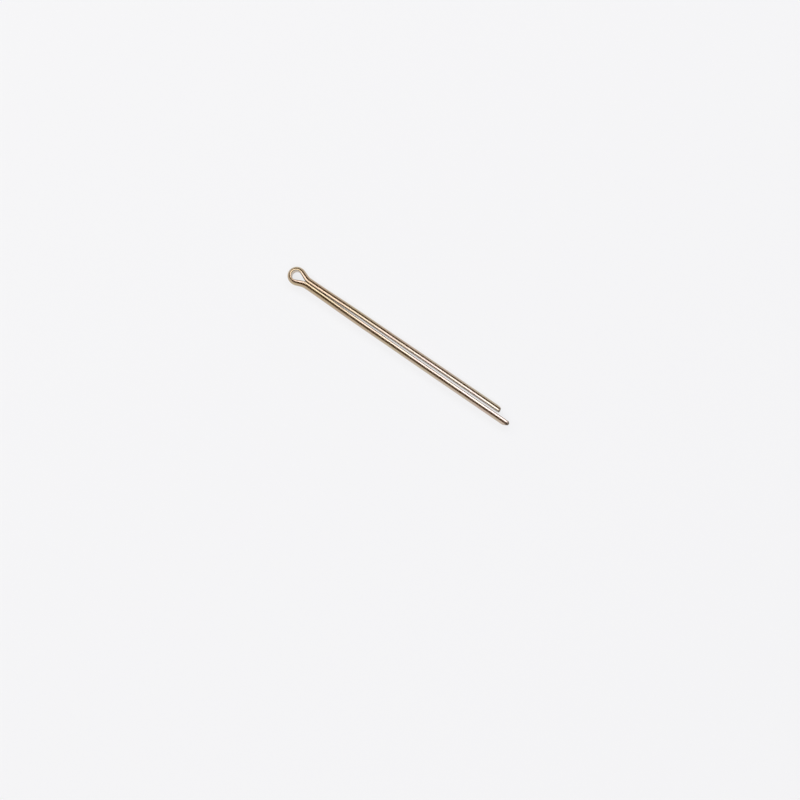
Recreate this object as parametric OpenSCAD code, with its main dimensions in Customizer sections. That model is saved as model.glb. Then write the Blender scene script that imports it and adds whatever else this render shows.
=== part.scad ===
// Split pin of the kind that retains disc brake pads in a caliper.
// One length of half-round wire is folded flat to flat. The fold is opened
// into an eye, the two legs make a round shank, and one leg is longer so that
// the ends can be pried apart.
//
// Frame: the origin is on the shank's axis, where the shank becomes round under
// the eye. +X runs along the shank to the tips, +Y points to the short leg's
// side, and +Z is up as the pin lies on its side with the eye flat.

/* [Shank] */
// Diameter of the round shank that the two legs make where they touch
shank_d = 3.6; // [3.5:0.02:3.7]
// Length from the origin to the end of the short leg
short_leg = 69.8; // [60:0.2:100]
// How much further the long leg reaches than the short one
leg_step = 4.4; // [3:0.2:8]
// Length over which the two flats touch, from the origin on
closed_len = 4.4; // [3:0.2:6]
// Length over which the legs then spring apart
spring_len = 20; // [14:1:22]
// How far each leg drifts away from the shank's axis for each millimetre of that
splay = 0.012; // [0.008:0.001:0.014]
// Length over which the legs go on easing apart after that
ease_len = 26; // [20:1:28]
// How far each leg drifts away for each millimetre of that second stretch
ease = 0.001; // [0.001:0.001:0.004]
// Hairline between the two flats where they touch
seam = 0.04; // [0.02:0.02:0.08]
// Radius of the wire's two corners, between its flat and its round back
corner_r = 0.14; // [0.1:0.02:0.24]

/* [Eye] */
// Outer width of the eye
eye_w = 5.64; // [5.6:0.04:5.92]
// Length of the straight stretch at the eye's widest point
eye_flat = 0.24; // [0.1:0.02:0.4]
// Length of each straight side between the eye's bend and the neck's bend
side_len = 1.66; // [1.5:0.01:1.74]
// Width of the hole through the eye
hole_w = 2.9; // [2.6:0.05:2.95]
// Thickness of the wire round the outer bend, where folding has thinned it
bow_t = 1.28; // [1.2:0.02:1.36]
// Slope of the hole's sides to the shank, in degrees
hole_slope = 25; // [24:0.5:27]
// Radius of each flat as it bends in to meet the other under the eye
throat_r = 3.4; // [2.4:0.2:3.8]

/* [Tips] */
// Radius to which both cut ends are domed
end_dome = 3; // [2.6:0.1:3.6]
// Radius of the short leg's end, seen from above
blunt_r = 1.3; // [1.2:0.02:1.4]
// Radius of the long leg's nose, seen from above
nose_r = 0.5; // [0.4:0.02:0.6]
// Slope of the two sides that lead up to that nose, in degrees
nose_angle = 30; // [26:1:36]

/* [Hidden] */
$fn = 96;

r = shank_d / 2;             // radius of the wire's round back
g = seam / 2;                // distance of each flat from the middle of the seam
spring = splay * spring_len; // how far each leg is from the shank's axis after the first stretch
apart = spring + ease * ease_len; // and at the tips
plating = [0.80, 0.67, 0.45];

// The wire's corners: each is an arc that runs from the flat into the round back,
// and its circle stands a thousandth proud of the back so that the two cross
corner_z = sqrt(pow(r - corner_r + 0.001, 2) - pow(g + corner_r, 2));
corner_a = atan2(corner_z, g + corner_r);

// Eye, outer line. The middle of the wire's round back runs round the eye on
// one radius, down a straight side, and out along the shank on a second one.
dir = [117, 44] / 125;       // the straight side falls 44 in 117
path_r = eye_w / 2 - r;
bend_r = (path_r * dir[0] - side_len * dir[1]) / (1 - dir[0]);
c2 = -(path_r * dir[1] + side_len * dir[0] + bend_r * dir[1]);   // centre of the inner bends
c1 = c2 - eye_flat;                                              // centre of the outer bend
eye_end = c1 - eye_w / 2;

// Eye, hole: a round end, two straight sides and a throat that closes to the seam
hole_r = hole_w / 2;
hole_x = eye_end + bow_t + hole_r;
top = [hole_x + hole_r * sin(hole_slope), hole_r * cos(hole_slope)];
throat_y = g + throat_r * (1 - cos(hole_slope));
throat_x0 = top[0] + (top[1] - throat_y) / tan(hole_slope);
throat_x1 = throat_x0 + throat_r * sin(hole_slope);

// ---- sections, with u = away from the seam along the first axis ----

// Round back of the wire, kept from u0 outward
module back_section(u0) {
    intersection() {
        circle(r = r);
        translate([u0, -r - 1]) square([2 * r + 2, 2 * r + 2]);
    }
}

// Half-round wire with its rounded corners
module wire_section() {
    difference() {
        back_section(g);
        for (m = [0, 1]) mirror([0, m]) difference() {
            polygon([[g + corner_r, corner_z], [g - 1, corner_z], [g - 1, r + 1],
                     [g + corner_r + (r + 1 - corner_z) / tan(corner_a), r + 1]]);
            translate([g + corner_r, corner_z]) circle(r = corner_r);
        }
    }
}

// ---- leg: lengths of wire that start at the origin and head along +X ----

module along_x(len) {
    rotate([90, 0, 90]) linear_extrude(height = len) children();
}

// A length that drifts outward, with its section kept square to the shank's axis
module drifting(len, slope) {
    multmatrix([[1, 0, 0, 0], [slope, 1, 0, 0], [0, 0, 1, 0], [0, 0, 0, 1]])
        along_x(len) wire_section();
}

// End of a leg: domed, and rounded in plan about a point that is off from the
// seam, with a slope on the round side and another on the flat's side. The dome
// alone makes the very end, so the rounding in plan reaches just beyond it.
module leg_end(len, rad, off, slope_out, slope_in) {
    at = [len + 0.02 - rad, off];
    p = [at[0] + rad * sin(slope_out), at[1] + rad * cos(slope_out)];
    q = [at[0] + rad * sin(slope_in), at[1] - rad * cos(slope_in)];
    intersection() {
        along_x(len + 1) wire_section();
        translate([len - end_dome, off, 0]) sphere(r = end_dome);
        translate([0, 0, -r - 1]) linear_extrude(height = 2 * r + 2) union() {
            translate(at) circle(r = rad);
            polygon([p, [-1, p[1] + (p[0] + 1) * tan(slope_out)], [-1, -2], [q[0] - (q[1] + 2) / tan(slope_in), -2], q]);
        }
    }
}

module leg(reach, pointed) {
    tip = 2.4;
    eased = closed_len + spring_len + ease_len;
    along_x(closed_len) wire_section();
    translate([closed_len, 0, 0]) drifting(spring_len, splay);
    translate([closed_len + spring_len, spring, 0]) drifting(ease_len, ease);
    translate([eased, apart, 0]) along_x(reach - tip - eased) wire_section();
    translate([reach - tip, apart, 0])
        if (pointed) leg_end(tip, nose_r, 0.66, nose_angle, nose_angle);
        else leg_end(tip, blunt_r, 0.45, 25, 60);
}

// ---- eye: the half on the +Y side ----

// Wedge from the first axis to the direction dir
module turn() {
    translate([0, 0, -r - 1]) linear_extrude(height = 2 * r + 2)
        polygon([[0, 0], [10, -10], 20 * dir]);
}

// Bends away from the seam
module bend_out(rad, u0) {
    translate([0, rad, 0]) rotate([0, 0, -90]) intersection() {
        rotate_extrude(angle = 90) translate([rad, 0]) mirror([1, 0]) back_section(u0);
        turn();
    }
}

// Bends back towards the seam
module bend_in(rad, u0) {
    mirror([0, 1, 0]) translate([0, rad, 0]) rotate([0, 0, -90]) intersection() {
        rotate_extrude(angle = 90) translate([rad, 0]) back_section(u0);
        turn();
    }
}

module half_eye() {
    k = -0.2;                                                // how far the wire is kept inside its path
    difference() {
        union() {
            translate([c1, 0, 0]) rotate([0, 0, 90]) rotate_extrude(angle = 90)
                translate([path_r, 0]) back_section(k);
            translate([c1, path_r, 0]) along_x(eye_flat) back_section(k);
            translate([c2, path_r, 0]) {
                bend_in(path_r, k);
                translate([path_r * dir[1], -path_r * (1 - dir[0]), 0]) rotate([0, 0, -atan2(dir[1], dir[0])]) {
                    along_x(side_len) back_section(k);
                    translate([side_len, 0, 0]) bend_out(bend_r, k);
                }
            }
        }
        translate([0, 0, -r - 1]) linear_extrude(height = 2 * r + 2) eye_opening();
        for (m = [0, 1]) mirror([0, 0, m]) neck_groove();
    }
}

// Plan of everything that is open on this side of the eye, down to the seam
module eye_opening() {
    translate([hole_x, 0]) circle(r = hole_r);
    difference() {
        polygon([[top[0], -top[1]], top, [throat_x0, throat_y], [throat_x1, throat_y], [throat_x1, -3], [top[0], -3]]);
        translate([throat_x1, throat_r + g]) circle(r = throat_r);
    }
    translate([throat_x0, -3]) square([1 - throat_x0, 3 + g]);
}

// The wire's broken corner along the seam, from the hole to the legs
module neck_groove() {
    translate([top[0], 0, 0]) along_x(-top[0])
        polygon([[g - 0.25, corner_z - 0.2], [g + 2.5, corner_z + 2], [g - 0.25, corner_z + 2]]);
}

module split_pin() {
    color(plating) {
        half_eye();
        leg(short_leg, false);
        mirror([0, 1, 0]) {
            half_eye();
            leg(short_leg + leg_step, true);
        }
    }
}

split_pin();
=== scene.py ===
import bpy
import math
import random
import numpy as np
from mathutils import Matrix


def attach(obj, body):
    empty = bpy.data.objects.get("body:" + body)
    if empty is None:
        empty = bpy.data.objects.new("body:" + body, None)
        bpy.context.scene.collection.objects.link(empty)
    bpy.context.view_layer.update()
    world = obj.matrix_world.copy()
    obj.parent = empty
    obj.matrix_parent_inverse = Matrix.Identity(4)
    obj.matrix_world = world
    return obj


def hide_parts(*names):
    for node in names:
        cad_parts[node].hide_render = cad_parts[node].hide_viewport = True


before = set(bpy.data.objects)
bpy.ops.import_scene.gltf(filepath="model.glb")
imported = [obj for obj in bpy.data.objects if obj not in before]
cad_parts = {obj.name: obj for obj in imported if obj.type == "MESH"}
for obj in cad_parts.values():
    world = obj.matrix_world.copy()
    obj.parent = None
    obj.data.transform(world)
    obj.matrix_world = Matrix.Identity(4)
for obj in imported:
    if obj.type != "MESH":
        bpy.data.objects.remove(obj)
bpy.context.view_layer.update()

MM = 0.001

# ------------------------------------------------------------------ geometry
# All lengths below are in millimetres, in the frame of the CAD.
R = 1.8            # radius of the wire's round back
G = 0.02           # distance of each flat from the middle of the seam
SHORT, LONG = 69.8, 74.2
EYE_W = 5.64
PATH_R = EYE_W / 2 - R
BEND_R = 5.7875
DIR = (0.936, 0.352)
C2 = -3.95
C1 = -4.19
HOLE_R = 1.45
HOLE_X = -4.28
SLOPE = math.radians(25)
THROAT_R = 3.4
TOP = (HOLE_X + HOLE_R * math.sin(SLOPE), HOLE_R * math.cos(SLOPE))
THROAT_Y = G + THROAT_R * (1 - math.cos(SLOPE))
THROAT_X0 = TOP[0] + (TOP[1] - THROAT_Y) / math.tan(SLOPE)
THROAT_X1 = THROAT_X0 + THROAT_R * math.sin(SLOPE)


def smooth(t):
    t = np.clip(t, 0.0, 1.0)
    return t * t * (3 - 2 * t)


def drift(x):
    """How far a leg stands off the shank's axis: closed under the eye, then sprung apart."""
    x = np.asarray(x, float)
    return 0.235 * smooth((x - 0.5) / 20.0) + 0.085 * smooth((x - 18.0) / 36.0)


def outer_path(step):
    """Middle of the round back along the +Y half of the eye, from its far end to the neck, with unit normals pointing out."""
    pts, nrm = [], []

    def arc(cx, cy, rad, a0, a1, sign):
        n = max(2, int(math.ceil(abs(a1 - a0) * max(rad, R) / step)))
        for i in range(n):
            a = a0 + (a1 - a0) * i / n
            pts.append((cx + rad * math.cos(a), cy + rad * math.sin(a)))
            nrm.append((sign * math.cos(a), sign * math.sin(a)))

    def line(p, q, nv):
        n = max(1, int(math.ceil(math.dist(p, q) / step)))
        for i in range(n):
            pts.append((p[0] + (q[0] - p[0]) * i / n, p[1] + (q[1] - p[1]) * i / n))
            nrm.append(nv)

    turn = math.atan2(DIR[1], DIR[0])
    arc(C1, 0, PATH_R, math.pi, math.pi / 2, 1)
    line((C1, PATH_R), (C2, PATH_R), (0.0, 1.0))
    arc(C2, 0, PATH_R, math.pi / 2, math.pi / 2 - turn, 1)
    p = (C2 + PATH_R * math.sin(turn), PATH_R * math.cos(turn))
    q = (-BEND_R * math.sin(turn), BEND_R * (1 - math.cos(turn)))
    line(p, q, (math.sin(turn), math.cos(turn)))
    arc(0, BEND_R, BEND_R, -math.pi / 2 - turn, -math.pi / 2, -1)
    pts.append((0.0, 0.0))
    nrm.append((0.0, 1.0))
    return np.array(pts), np.array(nrm)


def inner_line():
    """Hole and flat on the +Y half, as a fine polyline from the far end to beyond the neck."""
    pts = [(HOLE_X + HOLE_R * math.cos(a), HOLE_R * math.sin(a)) for a in np.linspace(math.pi, math.pi / 2 - SLOPE, 160)]
    pts += [(TOP[0] + (THROAT_X0 - TOP[0]) * k, TOP[1] + (THROAT_Y - TOP[1]) * k) for k in np.linspace(0, 1, 40)[1:]]
    pts += [
        (THROAT_X1 - THROAT_R * math.sin(b), G + THROAT_R * (1 - math.cos(b)))
        for b in np.linspace(SLOPE, 0, 40)[1:]
    ]
    pts += [(THROAT_X1 + (0.5 - THROAT_X1) * k, G) for k in np.linspace(0, 1, 20)[1:]]
    return np.array(pts)


def cast(p, d, line):
    """Distance from p along d to the polyline."""
    a, b = line[:-1], line[1:]
    e = b - a
    den = d[0] * e[:, 1] - d[1] * e[:, 0]
    w = a - p
    with np.errstate(divide="ignore", invalid="ignore"):
        t = (w[:, 0] * e[:, 1] - w[:, 1] * e[:, 0]) / den
        s = (w[:, 0] * d[1] - w[:, 1] * d[0]) / den
    ok = (s >= -1e-6) & (s <= 1 + 1e-6) & (t > 0)
    return float(t[ok].min())


# Stations: C = middle of the round back, N = outward, U0 = where the flat is, along N
path, normals = outer_path(0.085)
line = inner_line()
u0 = np.array([R - cast(p + R * n, -n, line) for p, n in zip(path, normals)])


def grow(x0, x1, h0, h1):
    """Steps that grow from h0 to h1."""
    xs, x = [], x0
    while x < x1 - 0.5 * h1:
        xs.append(x)
        k = (x - x0) / (x1 - x0)
        x += h0 + (h1 - h0) * min(1.0, k * 3)
    return xs


def tip_places(end, first, n, last):
    """Places along the leg where rings close a rounded end, closer and closer together."""
    k = np.linspace(0.0, 1.0, n)
    return [end - (end - first) * (1 - x) ** 2 - last for x in k]


def leg_places(end, first):
    body = [x for x in grow(0.0, first, 0.09, 0.185) if x > 1e-6]
    return body


DOME = 3.0                                   # radius to which both cut ends are domed
# Each end seen from above: its rounding, how far from the seam that lies, and the slopes of its outer and inner side
BLUNT = (1.3, 0.45, math.radians(25), math.radians(60))
NOSED = (0.5, 0.66, math.radians(30), math.radians(30))
short_first, long_first = SHORT - 1.5, LONG - 1.9
short_x = np.array(leg_places(SHORT, short_first) + tip_places(SHORT, short_first, 40, 0.002))
long_x = np.array(leg_places(LONG, long_first) + tip_places(LONG, long_first, 44, 0.006))

# The whole wire, from the short tip round the eye to the long tip
C = np.concatenate([
    np.stack([short_x[::-1], drift(short_x[::-1])], 1),
    path[::-1],
    path[1:] * [1, -1],
    np.stack([long_x, -drift(long_x)], 1),
])
N = np.concatenate([
    np.tile([0.0, 1.0], (len(short_x), 1)),
    normals[::-1],
    normals[1:] * [1, -1],
    np.tile([0.0, -1.0], (len(long_x), 1)),
])
U0 = np.concatenate([np.full(len(short_x), G), u0[::-1], u0[1:], np.full(len(long_x), G)])
n_short, n_eye = len(short_x), 2 * len(path) - 1

# Length along the wire, measured on a line in the middle of the metal
mid = C + N * 0.8
S = np.concatenate([[0.0], np.cumsum(np.linalg.norm(np.diff(mid, axis=0), axis=1))])
S_eye = S[n_short + len(path) - 1]          # far end of the eye
S -= S_eye                                   # 0 at the eye's far end, minus on the short leg

NB, NC, NF = 54, 6, 14                       # points on the back, on each corner and on the flat


def profile(flat, corner):
    """Half-round section as points (u, z): the round back, two corners and the flat."""
    cu = flat + corner
    cz = math.sqrt((R - corner) ** 2 - cu * cu)
    a = math.atan2(cz, cu)
    pts = []
    for i in range(NB + 1):
        t = -a + 2 * a * i / NB
        pts.append((R * math.cos(t), R * math.sin(t)))
    for i in range(1, NC + 1):
        t = a + (math.pi - a) * i / NC
        pts.append((cu + corner * math.cos(t), cz + corner * math.sin(t)))
    for i in range(1, NF):
        pts.append((flat, cz * (1 - 2 * i / NF)))
    for i in range(NC):
        t = math.pi + (math.pi - a) * i / NC
        pts.append((cu + corner * math.cos(t), -cz + corner * math.sin(t)))
    return np.array(pts)


def ray_out(o, ang, poly):
    """Distance from o to the closed polygon for each angle."""
    a, b = poly, np.roll(poly, -1, axis=0)
    e = b - a
    w = a - o
    out = []
    for t in ang:
        d = (math.cos(t), math.sin(t))
        den = d[0] * e[:, 1] - d[1] * e[:, 0]
        with np.errstate(divide="ignore", invalid="ignore"):
            k = (w[:, 0] * e[:, 1] - w[:, 1] * e[:, 0]) / den
            s = (w[:, 0] * d[1] - w[:, 1] * d[0]) / den
        ok = (s >= -1e-7) & (s <= 1 + 1e-7) & (k > 0)
        out.append(k[ok].min())
    return np.array(out)


def disk_out(o, ang, ua, rho):
    """Distance from o to the circle of radius rho about (ua, 0)."""
    dx = o[0] - ua
    c = np.cos(ang)
    return -dx * c + np.sqrt(np.maximum(0.0, rho * rho - dx * dx * np.sin(ang) ** 2))


def soft_min(a, b, k):
    h = np.clip(0.5 + 0.5 * (b - a) / k, 0, 1)
    return b + (a - b) * h - k * h * (1 - h)


def dome_radius(x, end):
    return math.sqrt(max(1e-8, DOME ** 2 - (x - (end - DOME)) ** 2))


def end_sides(x, end, shape):
    """Plan of a leg's end at x: how far it reaches on the flat's side and on the round side."""
    rad, off, out_a, in_a = shape
    c = end - rad
    half = math.sqrt(max(0.0, rad ** 2 - (x - c) ** 2)) if x > c else rad
    px, qx = c + rad * math.sin(out_a), c + rad * math.sin(in_a)
    hi = off + half if x > px else off + rad * math.cos(out_a) + (px - x) * math.tan(out_a)
    lo = off - half if x > qx else off - rad * math.cos(in_a) - (qx - x) * math.tan(in_a)
    return lo, hi


def tip_profile(base, angles, end, x, shape, k):
    """The section where an end is rounded: cut down to the dome's circle and the end's sides, the edges between them softened."""
    rho, ua = dome_radius(x, end), shape[1]
    n_lo, n_hi = end_sides(x, end, shape)
    lo, hi = max(G, ua - rho, n_lo), min(R, ua + rho, n_hi)
    o = np.array([(lo + hi) / 2, 0.0])
    c = np.cos(angles)
    k = min(k, 0.45 * (hi - lo))
    d = soft_min(ray_out(o, angles, base), disk_out(o, angles, ua, rho), k)
    sides = np.where(c > 0, (n_hi - o[0]) / np.maximum(c, 1e-6), (o[0] - n_lo) / np.maximum(-c, 1e-6))
    d = soft_min(d, sides, k)
    return o + np.stack([c, np.sin(angles)], 1) * d[:, None]


def squashed(flat):
    """The leg's section where folding has thinned it: squeezed from the flat towards the round back."""
    pts = base.copy()
    pts[:, 0] = R - (R - pts[:, 0]) * (R - flat) / (R - G)
    return pts


rng = random.Random(41)
P = NB + 1 + NC + (NF - 1) + NC              # points in a ring
base = profile(G, 0.14)
o_leg = np.array([(G + R) / 2, 0.0])
angles = np.arctan2(base[:, 1] - o_leg[1], base[:, 0] - o_leg[0])

# Painted shade and painted dark reflection: the wire's colour is darkened along its two corners, less on its flat, and
# on the cut ends
step_len = np.linalg.norm(np.diff(np.vstack([base, base[:1]]), axis=0), axis=1)
along = np.concatenate([[0.0], np.cumsum(step_len)])[:-1]
painted_shade_section = np.zeros(P)
for m in (NB + NC // 2, NB + NC + NF - 1 + NC // 2):
    gap = np.abs(along - along[m])
    gap = np.minimum(gap, step_len.sum() - gap)
    painted_shade_section = np.maximum(painted_shade_section, np.exp(-((gap / 0.17) ** 2)))
painted_shade_section[NB + NC:NB + NC + NF] = np.maximum(painted_shade_section[NB + NC:NB + NC + NF], 0.45)

rings = np.zeros((len(C), P, 2))
painted_shade_at = np.tile(painted_shade_section, (len(C), 1))
for i in range(len(C)):
    x = C[i][0]
    if i < n_short and x > short_first - 0.01:
        rings[i] = tip_profile(base, angles, SHORT, x, BLUNT, 0.22)
    elif i >= n_short + n_eye and x > long_first - 0.01:
        rings[i] = tip_profile(base, angles, LONG, x, NOSED, 0.22)
    elif x > 0.3:
        rings[i] = base
    else:
        rings[i] = squashed(float(U0[i]))
    if U0[i] < 0.2 and x < 12:                 # painted shade in the crevice under the eye, where the legs close together
        crevice_shade = 0.95 * (1 - float(smooth((x - 4.0) / 8.0)))
        painted_shade_at[i, NB + NC:NB + NC + NF] = np.maximum(painted_shade_at[i, NB + NC:NB + NC + NF], crevice_shade)
    if U0[i] > 0.2:                            # less painted shade on the wall of the hole than on the flats of the legs
        less_shade_on_wall = float(smooth((U0[i] - 0.2) / 0.2))
        painted_shade_at[i, NB + NC + 1:NB + NC + NF - 1] *= 1 - 0.85 * less_shade_on_wall
    # Painted dark reflection on the cut ends: darker where the end's section departs further from the leg's.
    if x > 60:
        cut = np.linalg.norm(rings[i] - base, axis=1)
        painted_shade_at[i] = np.maximum(painted_shade_at[i], smooth((cut - 0.03) / 0.22))

# Length round the section, for the marks
ring_len = np.linalg.norm(np.diff(np.concatenate([rings, rings[:, :1]], 1), axis=1), axis=2)
V = np.concatenate([np.zeros((len(C), 1)), np.cumsum(ring_len, 1)[:, :-1]], 1)
centre_v = V[:, NB // 2][:, None]
V = V - centre_v                              # 0 on the ridge of the round back

# Fine shape: small nicks from the barrel, where parts fell on each other, and a faint wave in the drawn wire
push = np.zeros((len(C), P))
for _ in range(90):
    s0 = rng.uniform(S[0] + 1.0, S[-1] - 1.0)
    v0 = rng.uniform(-2.2, 2.2)
    w1, w2 = rng.uniform(0.14, 0.38), rng.uniform(0.12, 0.24)
    depth = rng.uniform(0.003, 0.011)
    tilt = rng.uniform(-0.9, 0.9)
    rows = np.where(np.abs(S - s0) < 1.6)[0]
    if len(rows) == 0:
        continue
    ds = (S[rows] - s0)[:, None] * np.ones((1, P))
    dv = V[rows] - v0
    a = ds * math.cos(tilt) + dv * math.sin(tilt)
    b = -ds * math.sin(tilt) + dv * math.cos(tilt)
    push[rows] -= depth * np.exp(-((a / w1) ** 2) - (b / w2) ** 2)

wave = np.zeros(len(C))
for k in range(5):
    f = 2 * math.pi / rng.uniform(7.0, 26.0)
    wave += rng.uniform(0.0010, 0.0022) * np.sin(f * S + rng.uniform(0, 6.28))
push += (wave - 0.006)[:, None] * (np.abs(V) < 2.6)

# Outward direction of each point in its section
nxt, prv = np.roll(rings, -1, axis=1), np.roll(rings, 1, axis=1)
tan = nxt - prv
out = np.stack([tan[..., 1], -tan[..., 0]], -1)
out /= np.maximum(1e-9, np.linalg.norm(out, axis=2))[..., None]
fade = np.ones(len(C))
fade[:26] = np.linspace(0, 1, 26)
fade[-26:] = np.linspace(1, 0, 26)
rings = rings + out * (push * fade[:, None])[..., None]

verts = np.zeros((len(C), P, 3))
verts[..., 0] = C[:, None, 0] + N[:, None, 0] * rings[..., 0]
verts[..., 1] = C[:, None, 1] + N[:, None, 1] * rings[..., 0]
verts[..., 2] = rings[..., 1]

wire_at = np.zeros((len(C), P, 3))
wire_at[..., 0] = rings[..., 0]
wire_at[..., 1] = rings[..., 1]
wire_at[..., 2] = S[:, None]

flat_verts = verts.reshape(-1, 3)
n = len(C)
idx = np.arange(n * P).reshape(n, P)
a, b = idx[:-1], idx[1:]
quads = np.stack([a, b, np.roll(b, -1, 1), np.roll(a, -1, 1)], -1).reshape(-1, 4)
cap0 = verts[0].mean(0) + [0.002, 0, 0]
cap1 = verts[-1].mean(0) + [0.001, 0, 0]
all_verts = np.vstack([flat_verts, cap0, cap1])
c0, c1 = n * P, n * P + 1
faces = [tuple(q) for q in quads.tolist()]
faces += [(c0, int(idx[0, j]), int(idx[0, (j + 1) % P])) for j in range(P)]
faces += [(c1, int(idx[-1, (j + 1) % P]), int(idx[-1, j])) for j in range(P)]

me = bpy.data.meshes.new("split_pin_wire")
me.from_pydata((all_verts * MM).tolist(), [], faces)
me.validate()
me.update()
vol = 0.0
for t in me.polygons:
    vs = [me.vertices[k].co for k in t.vertices]
    for k in range(1, len(vs) - 1):
        vol += vs[0].dot(vs[k].cross(vs[k + 1]))
if vol < 0:
    me.flip_normals()
me.shade_smooth()

att = me.attributes.new("wire", "FLOAT_VECTOR", "POINT")
w = np.vstack([wire_at.reshape(-1, 3), [rings[0].mean(0)[0], 0, S[0]], [rings[-1].mean(0)[0], 0, S[-1]]])
att.data.foreach_set("vector", w.astype(np.float32).ravel())
# The shade mask, with painted shade on the two end caps as well.
att = me.attributes.new("seam", "FLOAT", "POINT")
att.data.foreach_set("value", np.concatenate([painted_shade_at.ravel(), [0.85, 0.85]]).astype(np.float32))

pin = bpy.data.objects.new("split_pin_wire", me)
bpy.context.scene.collection.objects.link(pin)
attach(pin, "root")
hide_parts("split_pin")


# ------------------------------------------------------------------ materials
def node(nt, kind, x=0, y=0, **values):
    nd = nt.nodes.new(kind)
    nd.location = (x, y)
    for k, v in values.items():
        if hasattr(nd, k):
            setattr(nd, k, v)
        else:
            nd.inputs[k].default_value = v
    return nd


def plating():
    m = bpy.data.materials.new("zinc_plate")
    m.use_nodes = True
    nt = m.node_tree
    nt.nodes.clear()
    L = nt.links.new
    out_n = node(nt, "ShaderNodeOutputMaterial", 1200, 0)
    bs = node(nt, "ShaderNodeBsdfPrincipled", 900, 0)
    bs.inputs["Metallic"].default_value = 1.0
    L(bs.outputs["BSDF"], out_n.inputs["Surface"])
    at = node(nt, "ShaderNodeAttribute", -1400, 0)
    at.attribute_name = "wire"
    sep = node(nt, "ShaderNodeSeparateXYZ", -1200, 200)
    L(at.outputs["Vector"], sep.inputs[0])

    def stretched(sx, sz, x, y):
        mp = node(nt, "ShaderNodeVectorMath", x, y, operation="MULTIPLY")
        L(at.outputs["Vector"], mp.inputs[0])
        mp.inputs[1].default_value = (sx, sx, sz)
        return mp.outputs[0]

    def noise(vec, scale, detail, rough, x, y):
        nz = node(nt, "ShaderNodeTexNoise", x, y)
        nz.inputs["Scale"].default_value = scale
        nz.inputs["Detail"].default_value = detail
        nz.inputs["Roughness"].default_value = rough
        L(vec, nz.inputs["Vector"])
        return nz.outputs["Fac"]

    def remap(src, a0, a1, b0, b1, x, y):
        mr = node(nt, "ShaderNodeMapRange", x, y)
        mr.inputs["From Min"].default_value = a0
        mr.inputs["From Max"].default_value = a1
        mr.inputs["To Min"].default_value = b0
        mr.inputs["To Max"].default_value = b1
        L(src, mr.inputs["Value"])
        return mr.outputs["Result"]

    def mix(fac, c_a, c_b, x, y, blend="MIX"):
        mx = node(nt, "ShaderNodeMix", x, y)
        mx.data_type = "RGBA"
        mx.blend_type = blend
        if isinstance(fac, float):
            mx.inputs[0].default_value = fac
        else:
            L(fac, mx.inputs[0])
        for sock, c in ((mx.inputs[6], c_a), (mx.inputs[7], c_b)):
            if isinstance(c, tuple):
                sock.default_value = (*c, 1.0)
            else:
                L(c, sock)
        return mx.outputs[2]

    # Painted lightening: away from the eye the base colour is paler, standing in for the brighter, whiter highlights on
    # the legs
    dist = node(nt, "ShaderNodeMath", -1000, 300, operation="ABSOLUTE")
    L(sep.outputs["Z"], dist.inputs[0])
    far = remap(dist.outputs[0], 6.0, 60.0, 0.0, 1.0, -800, 300)
    tip_lightened_base = mix(far, (0.52, 0.40, 0.275), (0.56, 0.46, 0.37), -600, 300)
    # Thin passivation shows faint rose and green where its thickness changes
    film = noise(stretched(0.35, 0.12, -1000, 0), 1.0, 3.0, 0.55, -800, 0)
    hue = remap(film, 0.35, 0.65, 0.0, 1.0, -600, 0)
    tint = mix(hue, (0.95, 1.0, 0.88), (1.0, 0.94, 0.96), -400, 0)
    col = mix(0.7, tip_lightened_base, tint, -200, 200, "MULTIPLY")
    spots = noise(stretched(1.6, 1.1, -1000, -250), 1.0, 4.0, 0.6, -800, -250)
    dull = remap(spots, 0.55, 0.75, 0.0, 0.16, -600, -250)
    col = mix(dull, col, (0.36, 0.27, 0.19), 0, 100)
    # Painted shade: the wire's corners, its flat and the cut ends are darkened in patches
    sa = node(nt, "ShaderNodeAttribute", -1400, 500)
    sa.attribute_name = "seam"
    shade_patches = noise(stretched(1.2, 0.7, -1000, 600), 1.0, 3.0, 0.6, -800, 600)
    patch = remap(shade_patches, 0.3, 0.7, 0.65, 0.95, -600, 600)
    dark = node(nt, "ShaderNodeMath", 0, 500, operation="MULTIPLY")
    L(sa.outputs["Fac"], dark.inputs[0])
    L(patch, dark.inputs[1])
    col = mix(dark.outputs[0], col, (0.13, 0.092, 0.058), 200, 200)
    L(col, bs.inputs["Base Color"])

    # Drawing lines run along the wire, plating grain lies over them
    lines = noise(stretched(9.0, 0.12, -1000, -500), 1.0, 3.0, 0.6, -800, -500)
    grain = noise(stretched(14.0, 14.0, -1000, -750), 1.0, 2.0, 0.6, -800, -750)
    r1 = remap(lines, 0.3, 0.7, 0.13, 0.23, -400, -450)
    r2 = remap(spots, 0.4, 0.75, 0.0, 0.09, -400, -600)
    ra = node(nt, "ShaderNodeMath", -200, -500, operation="ADD")
    L(r1, ra.inputs[0])
    L(r2, ra.inputs[1])
    worn = remap(sa.outputs["Fac"], 0.0, 1.0, 0.0, 0.16, -200, -350)
    rb = node(nt, "ShaderNodeMath", 0, -450, operation="ADD")
    L(ra.outputs[0], rb.inputs[0])
    L(worn, rb.inputs[1])
    L(rb.outputs[0], bs.inputs["Roughness"])
    b1 = node(nt, "ShaderNodeBump", 300, -500)
    b1.inputs["Strength"].default_value = 0.30
    b1.inputs["Distance"].default_value = 0.000012
    L(lines, b1.inputs["Height"])
    b2 = node(nt, "ShaderNodeBump", 500, -500)
    b2.inputs["Strength"].default_value = 0.25
    b2.inputs["Distance"].default_value = 0.000008
    L(grain, b2.inputs["Height"])
    L(b1.outputs["Normal"], b2.inputs["Normal"])
    L(b2.outputs["Normal"], bs.inputs["Normal"])
    return m


me.materials.append(plating())


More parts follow.
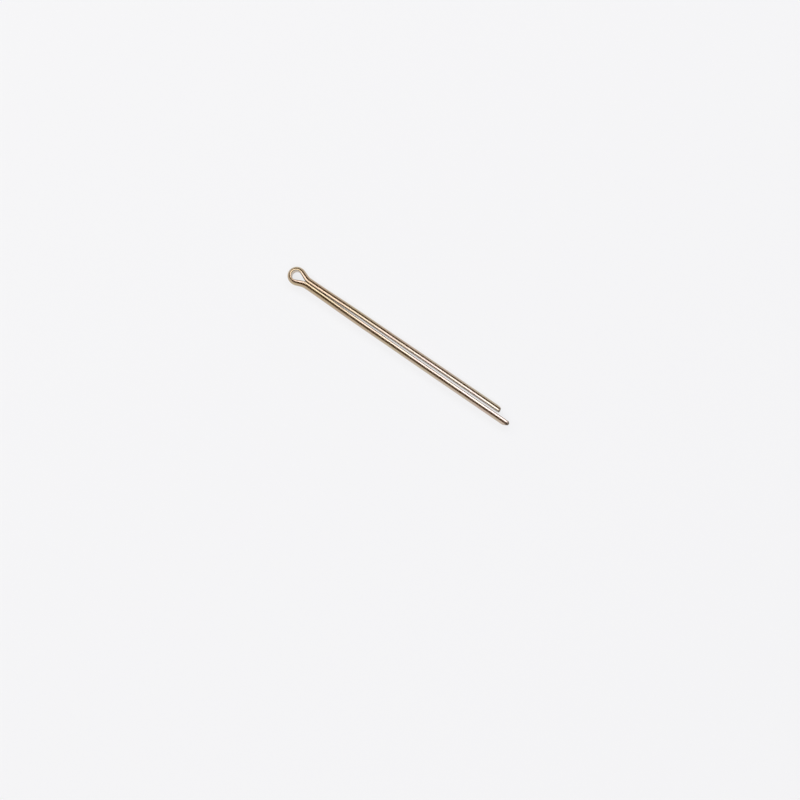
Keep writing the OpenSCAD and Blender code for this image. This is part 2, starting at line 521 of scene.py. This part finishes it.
# ------------------------------------------------------------------ floor
def paper():
    m = bpy.data.materials.new("pale_floor")
    m.use_nodes = True
    nt = m.node_tree
    bs = nt.nodes["Principled BSDF"]
    bs.inputs["Base Color"].default_value = (0.10, 0.10, 0.10, 1)
    bs.inputs["Roughness"].default_value = 0.75
    bs.inputs["Specular IOR Level"].default_value = 0.2
    bs.inputs["Emission Color"].default_value = (0.97, 0.97, 0.98, 1)
    bs.inputs["Emission Strength"].default_value = 0.83
    return m


SIDE = 1.6
fm = bpy.data.meshes.new("floor")
z = -R * MM
fm.from_pydata([(-SIDE, -SIDE, z), (SIDE, -SIDE, z), (SIDE, SIDE, z), (-SIDE, SIDE, z)], [], [(0, 1, 2, 3)])
fm.materials.append(paper())
floor = bpy.data.objects.new("floor", fm)
bpy.context.scene.collection.objects.link(floor)

# ------------------------------------------------------------------ camera
AZ = math.radians(34.47)
EL = math.radians(86.4)
HALF_PX = 400.0
DIST = 0.300
SCALE = 0.0003033                            # metres a pixel at the aimed point
AIM = (0.04296, -0.01328, z)
right = np.array([math.cos(AZ), math.sin(AZ), 0.0])
look = np.array([-math.sin(AZ) * math.cos(EL), math.cos(AZ) * math.cos(EL), -math.sin(EL)])
up = np.cross(right, look)
cam = bpy.data.cameras.new("camera")
cam.sensor_fit = "HORIZONTAL"
cam.sensor_width = 36.0
cam.lens = 18.0 * DIST / (HALF_PX * SCALE)
cam.clip_start, cam.clip_end = 0.01, 20.0
co = bpy.data.objects.new("camera", cam)
bpy.context.scene.collection.objects.link(co)
from mathutils import Matrix, Vector
rot = Matrix((Vector(right), Vector(up), Vector(-look))).transposed()
co.matrix_world = Matrix.Translation(Vector(AIM) - Vector(look) * DIST) @ rot.to_4x4()
bpy.context.scene.camera = co

# ------------------------------------------------------------------ light
world = bpy.data.worlds.new("surroundings")
bpy.context.scene.world = world
world.use_nodes = True
bg = world.node_tree.nodes["Background"]
bg.inputs["Color"].default_value = (0.098, 0.057, 0.010, 1)
bg.inputs["Strength"].default_value = 1.0
# The room beyond the floor is dim and warm where the metal reflects it, and a pale backdrop where it shows past the floor
wt = world.node_tree
backdrop = wt.nodes.new("ShaderNodeBackground")
backdrop.inputs["Color"].default_value = (0.90, 0.90, 0.91, 1)
either = wt.nodes.new("ShaderNodeMixShader")
wt.links.new(wt.nodes.new("ShaderNodeLightPath").outputs["Is Camera Ray"], either.inputs[0])
wt.links.new(bg.outputs[0], either.inputs[1])
wt.links.new(backdrop.outputs[0], either.inputs[2])
wt.links.new(either.outputs[0], wt.nodes["World Output"].inputs["Surface"])


def panel(name, inner, outer, near, far, height=0.9):
    """A glowing panel over the pin, between two edges. Their points are directions seen from the pin, as degrees from upright towards +X and towards +Y."""
    pts = [
        (0.033 + height * math.tan(math.radians(u)), height * math.tan(math.radians(v)), height)
        for u, v in inner + outer
    ]
    n = len(inner)
    pm = bpy.data.meshes.new(name)
    pm.from_pydata(pts, [], [(i, i + 1, n + i + 1, n + i) for i in range(n - 1)])
    m = bpy.data.materials.new(name)
    m.use_nodes = True
    nt = m.node_tree
    nt.nodes.clear()
    em = nt.nodes.new("ShaderNodeEmission")
    tc = nt.nodes.new("ShaderNodeNewGeometry")
    sx = nt.nodes.new("ShaderNodeSeparateXYZ")
    nt.links.new(tc.outputs["Position"], sx.inputs[0])
    mr = nt.nodes.new("ShaderNodeMapRange")
    mr.inputs["From Min"].default_value = -0.16
    mr.inputs["From Max"].default_value = 0.10
    mr.inputs["To Min"].default_value = near
    mr.inputs["To Max"].default_value = far
    nt.links.new(sx.outputs["X"], mr.inputs["Value"])
    nt.links.new(mr.outputs["Result"], em.inputs["Strength"])
    # Its light is a little cooler over the legs than over the eye
    tone = nt.nodes.new("ShaderNodeCombineColor")
    tone.inputs["Red"].default_value = 1.0
    for channel, cool in (("Green", 1.03), ("Blue", 1.2)):
        ramp = nt.nodes.new("ShaderNodeMapRange")
        ramp.inputs["From Min"].default_value = -0.14
        ramp.inputs["From Max"].default_value = -0.07
        ramp.inputs["To Min"].default_value = 1.0
        ramp.inputs["To Max"].default_value = cool
        nt.links.new(sx.outputs["X"], ramp.inputs["Value"])
        nt.links.new(ramp.outputs["Result"], tone.inputs[channel])
    nt.links.new(tone.outputs[0], em.inputs["Color"])
    o = nt.nodes.new("ShaderNodeOutputMaterial")
    nt.links.new(em.outputs[0], o.inputs["Surface"])
    pm.materials.append(m)
    ob = bpy.data.objects.new(name, pm)
    ob.visible_camera = False
    bpy.context.scene.collection.objects.link(ob)
    return ob


panel(
    "panel_left",
    [(-12, -13), (-9, -14), (-6, -13), (-3, -12), (0, -10), (40, -10)],
    [(-12, -29), (-10, -32), (-6, -33), (-3, -33), (0, -34), (40, -35)],
    2.8, 3.2,
)
panel(
    "panel_right",
    [(-15, 26), (-9, 27), (-6, 29), (-3, 28), (0, 28), (4, 30), (40, 30)],
    [(-15, 47.5), (-12.5, 50), (-8, 48), (-5, 47), (-2, 48.5), (4, 50), (40, 51)],
    2.4, 3.2,
)
panel(
    "panel_end",
    [(-15, 26), (-19, 24), (-28, 20), (-34, 8), (-35, -2), (-22.4, -12.3), (-12, -13)],
    [(-15, 47.5), (-36.6, 47.7), (-54.8, 44.8), (-63, 20), (-65, -5), (-46.4, -29.2), (-12, -29)],
    3.0, 3.0,
)


def low_wall(name, tops, value):
    """Pale wall that stands on the floor beyond the long leg. tops are (x, height) in metres."""
    y = -1.3
    pts = [(x, y, -R * MM) for x, _ in tops] + [(x, y, h) for x, h in tops]
    n = len(tops)
    wm = bpy.data.meshes.new(name)
    wm.from_pydata(pts, [], [(i, i + 1, n + i + 1, n + i) for i in range(n - 1)])
    m = bpy.data.materials.new(name)
    m.use_nodes = True
    nt = m.node_tree
    nt.nodes.clear()
    em = nt.nodes.new("ShaderNodeEmission")
    em.inputs["Strength"].default_value = value
    o = nt.nodes.new("ShaderNodeOutputMaterial")
    nt.links.new(em.outputs[0], o.inputs["Surface"])
    wm.materials.append(m)
    ob = bpy.data.objects.new(name, wm)
    ob.visible_camera = False
    bpy.context.scene.collection.objects.link(ob)
    return ob


low_wall("low_wall", [(-1.5, 0.45), (-0.34, 0.45), (-0.24, 0.42), (-0.18, 0.30), (-0.12, 0.19), (-0.04, 0.19), (0.12, 0.26), (1.5, 0.28)], 0.85)

bpy.context.scene.view_settings.view_transform = "Standard"
bpy.context.scene.view_settings.look = "None"
